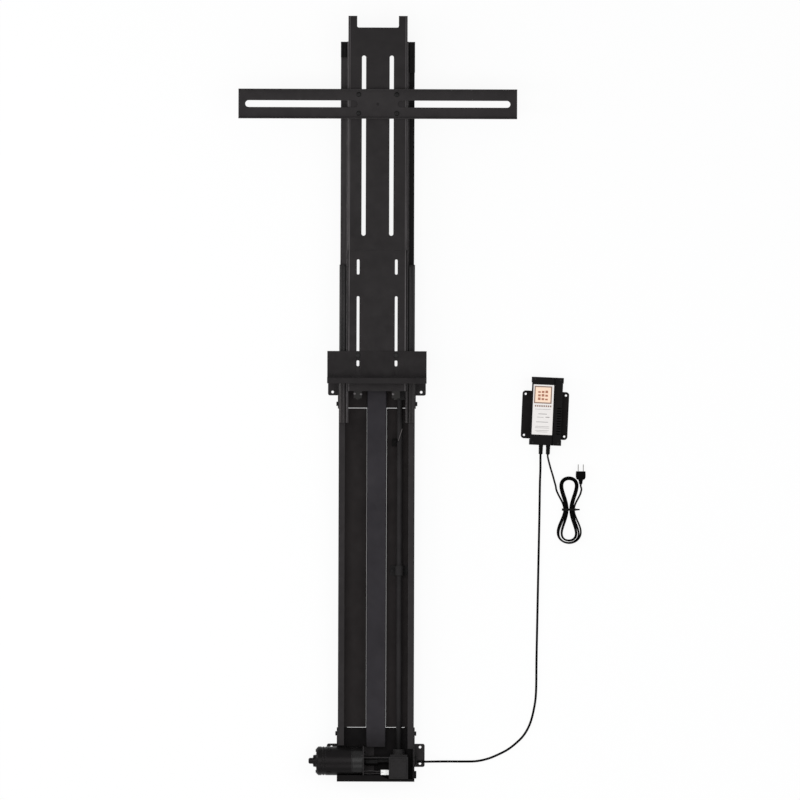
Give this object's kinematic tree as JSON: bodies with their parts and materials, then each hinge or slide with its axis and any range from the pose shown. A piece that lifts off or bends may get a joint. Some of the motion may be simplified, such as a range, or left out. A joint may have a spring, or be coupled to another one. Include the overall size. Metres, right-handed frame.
{
  "type": "tv lift mechanism",
  "caption": "Motorised rack-and-pinion lift column for a television, with its slotted crossbar, telescoping mast, wall brackets, corded power supply and coiled mains lead.",
  "frame": {"origin": "centre of the lower wall brackets' four holes, on the back plane that lies on the wall", "axes": "+Y the way the mast lifts, +Z out of the front, +X to the right as seen from the front; the part is stored lying on its back, with the mast fully raised"},
  "size_m": [0.8715, 1.913, 0.13],
  "materials": {
    "black_powder_coat": "satin black powder coat",
    "panel_coat": "satin black powder coat",
    "spine_coat": "satin charcoal coat",
    "blackened_steel": "black zinc plate",
    "motor_enamel": "semi-gloss black enamel",
    "cast_housing": "dark cast metal",
    "zinc_plate": "dull zinc plate",
    "white_plastic": "moulded nylon",
    "wire_insulation": "wire insulation",
    "bronze": "sintered bronze",
    "black_plastic": "textured moulded plastic",
    "bright_steel": "drawn steel, oiled",
    "dark_steel": "drawn steel, blackened and oiled",
    "runner_steel": "dull steel",
    "black_nylon": "moulded nylon",
    "grey_nylon": "moulded nylon",
    "label_white": "printed paper, satin",
    "transformer_core": "varnished laminations and winding",
    "circuit_board": "solder-masked board with its parts",
    "relief_rubber": "soft moulded rubber",
    "cable_jacket": "satin flexible jacket",
    "brass": "plated brass"
  },
  "bodies": {
    "frame": {"left_side_rail": "black_powder_coat", "right_side_rail": "black_powder_coat", "left_back_panel": "panel_coat", "right_back_panel": "panel_coat", "bottom_cross_plate": "panel_coat", "top_cross_plate": "panel_coat", "centre_spine": "spine_coat", "base_tray": "black_powder_coat", "top_left_wall_bracket": "black_powder_coat", "top_right_wall_bracket": "black_powder_coat", "bottom_left_wall_bracket": "black_powder_coat", "bottom_right_wall_bracket": "black_powder_coat", "frame_bolts": "blackened_steel", "motor_can": "motor_enamel", "motor_end_bell": "motor_enamel", "motor_gearhead": "cast_housing", "motor_bracket": "zinc_plate", "wire_connector": "white_plastic", "motor_wires": "wire_insulation", "lower_gearbox": "cast_housing", "lower_gearbox_cover": "cast_housing", "shaft_support": "cast_housing", "upper_gearbox": "cast_housing", "pinion_bush": "bronze", "cable_gland": "black_plastic", "limit_switch": "black_plastic", "supply_base": "black_plastic", "supply_cover": "black_plastic", "supply_label": "label_white", "transformer": "transformer_core", "control_board": "circuit_board", "lead_reliefs": "relief_rubber", "motor_lead": "cable_jacket", "mains_lead": "cable_jacket", "mains_hank": "cable_jacket", "plug_lead": "cable_jacket", "hank_tie": "black_plastic", "plug_body": "black_plastic", "plug_blades": "brass"},
    "mast": {"top_mast_plate": "black_powder_coat", "lower_mast_plate": "black_powder_coat", "left_runner": "runner_steel", "right_runner": "runner_steel", "gear_rack": "black_nylon", "left_guide_shoe": "grey_nylon", "right_guide_shoe": "grey_nylon", "top_left_glide": "black_nylon", "top_right_glide": "black_nylon", "seam_splice": "black_powder_coat", "carriage_brace": "black_powder_coat", "carriage_bumpers": "grey_nylon", "crossbar": "black_powder_coat", "crossbar_bolts": "blackened_steel", "shelf_bracket": "black_powder_coat", "shelf_bolts": "blackened_steel"},
    "cross_drive": {"cross_shaft": "dark_steel", "shaft_coupling": "dark_steel"},
    "upright_drive": {"drive_shaft": "dark_steel"},
    "pinion_set": {"pinion_shaft": "bright_steel", "drive_pinion": "bright_steel"}
  },
  "joints": [
    {"name": "mast_slide", "type": "slide", "parent": "frame", "child": "mast", "axis": [0, 1, 0], "range_m": [-0.8, 0]},
    {"name": "pinion_spin", "type": "hinge", "parent": "frame", "child": "pinion_set", "pos_m": [0, 0.912, 0.025], "axis": [1, 0, 0], "range_deg": [-5, 3280]},
    {"name": "drive_shaft_spin", "type": "hinge", "parent": "frame", "child": "upright_drive", "pos_m": [0.0575, 0, 0.025], "axis": [0, 1, 0], "range_deg": [-3280, 5]},
    {"name": "cross_shaft_spin", "type": "hinge", "parent": "frame", "child": "cross_drive", "pos_m": [0, -0.013, 0.025], "axis": [1, 0, 0], "range_deg": [-3280, 5]}
  ],
  "couplings": [
    {"joint": "pinion_spin", "follows": "mast_slide", "rad_per_m": -71.429},
    {"joint": "drive_shaft_spin", "follows": "mast_slide", "rad_per_m": 71.429},
    {"joint": "cross_shaft_spin", "follows": "mast_slide", "rad_per_m": 71.429}
  ]
}
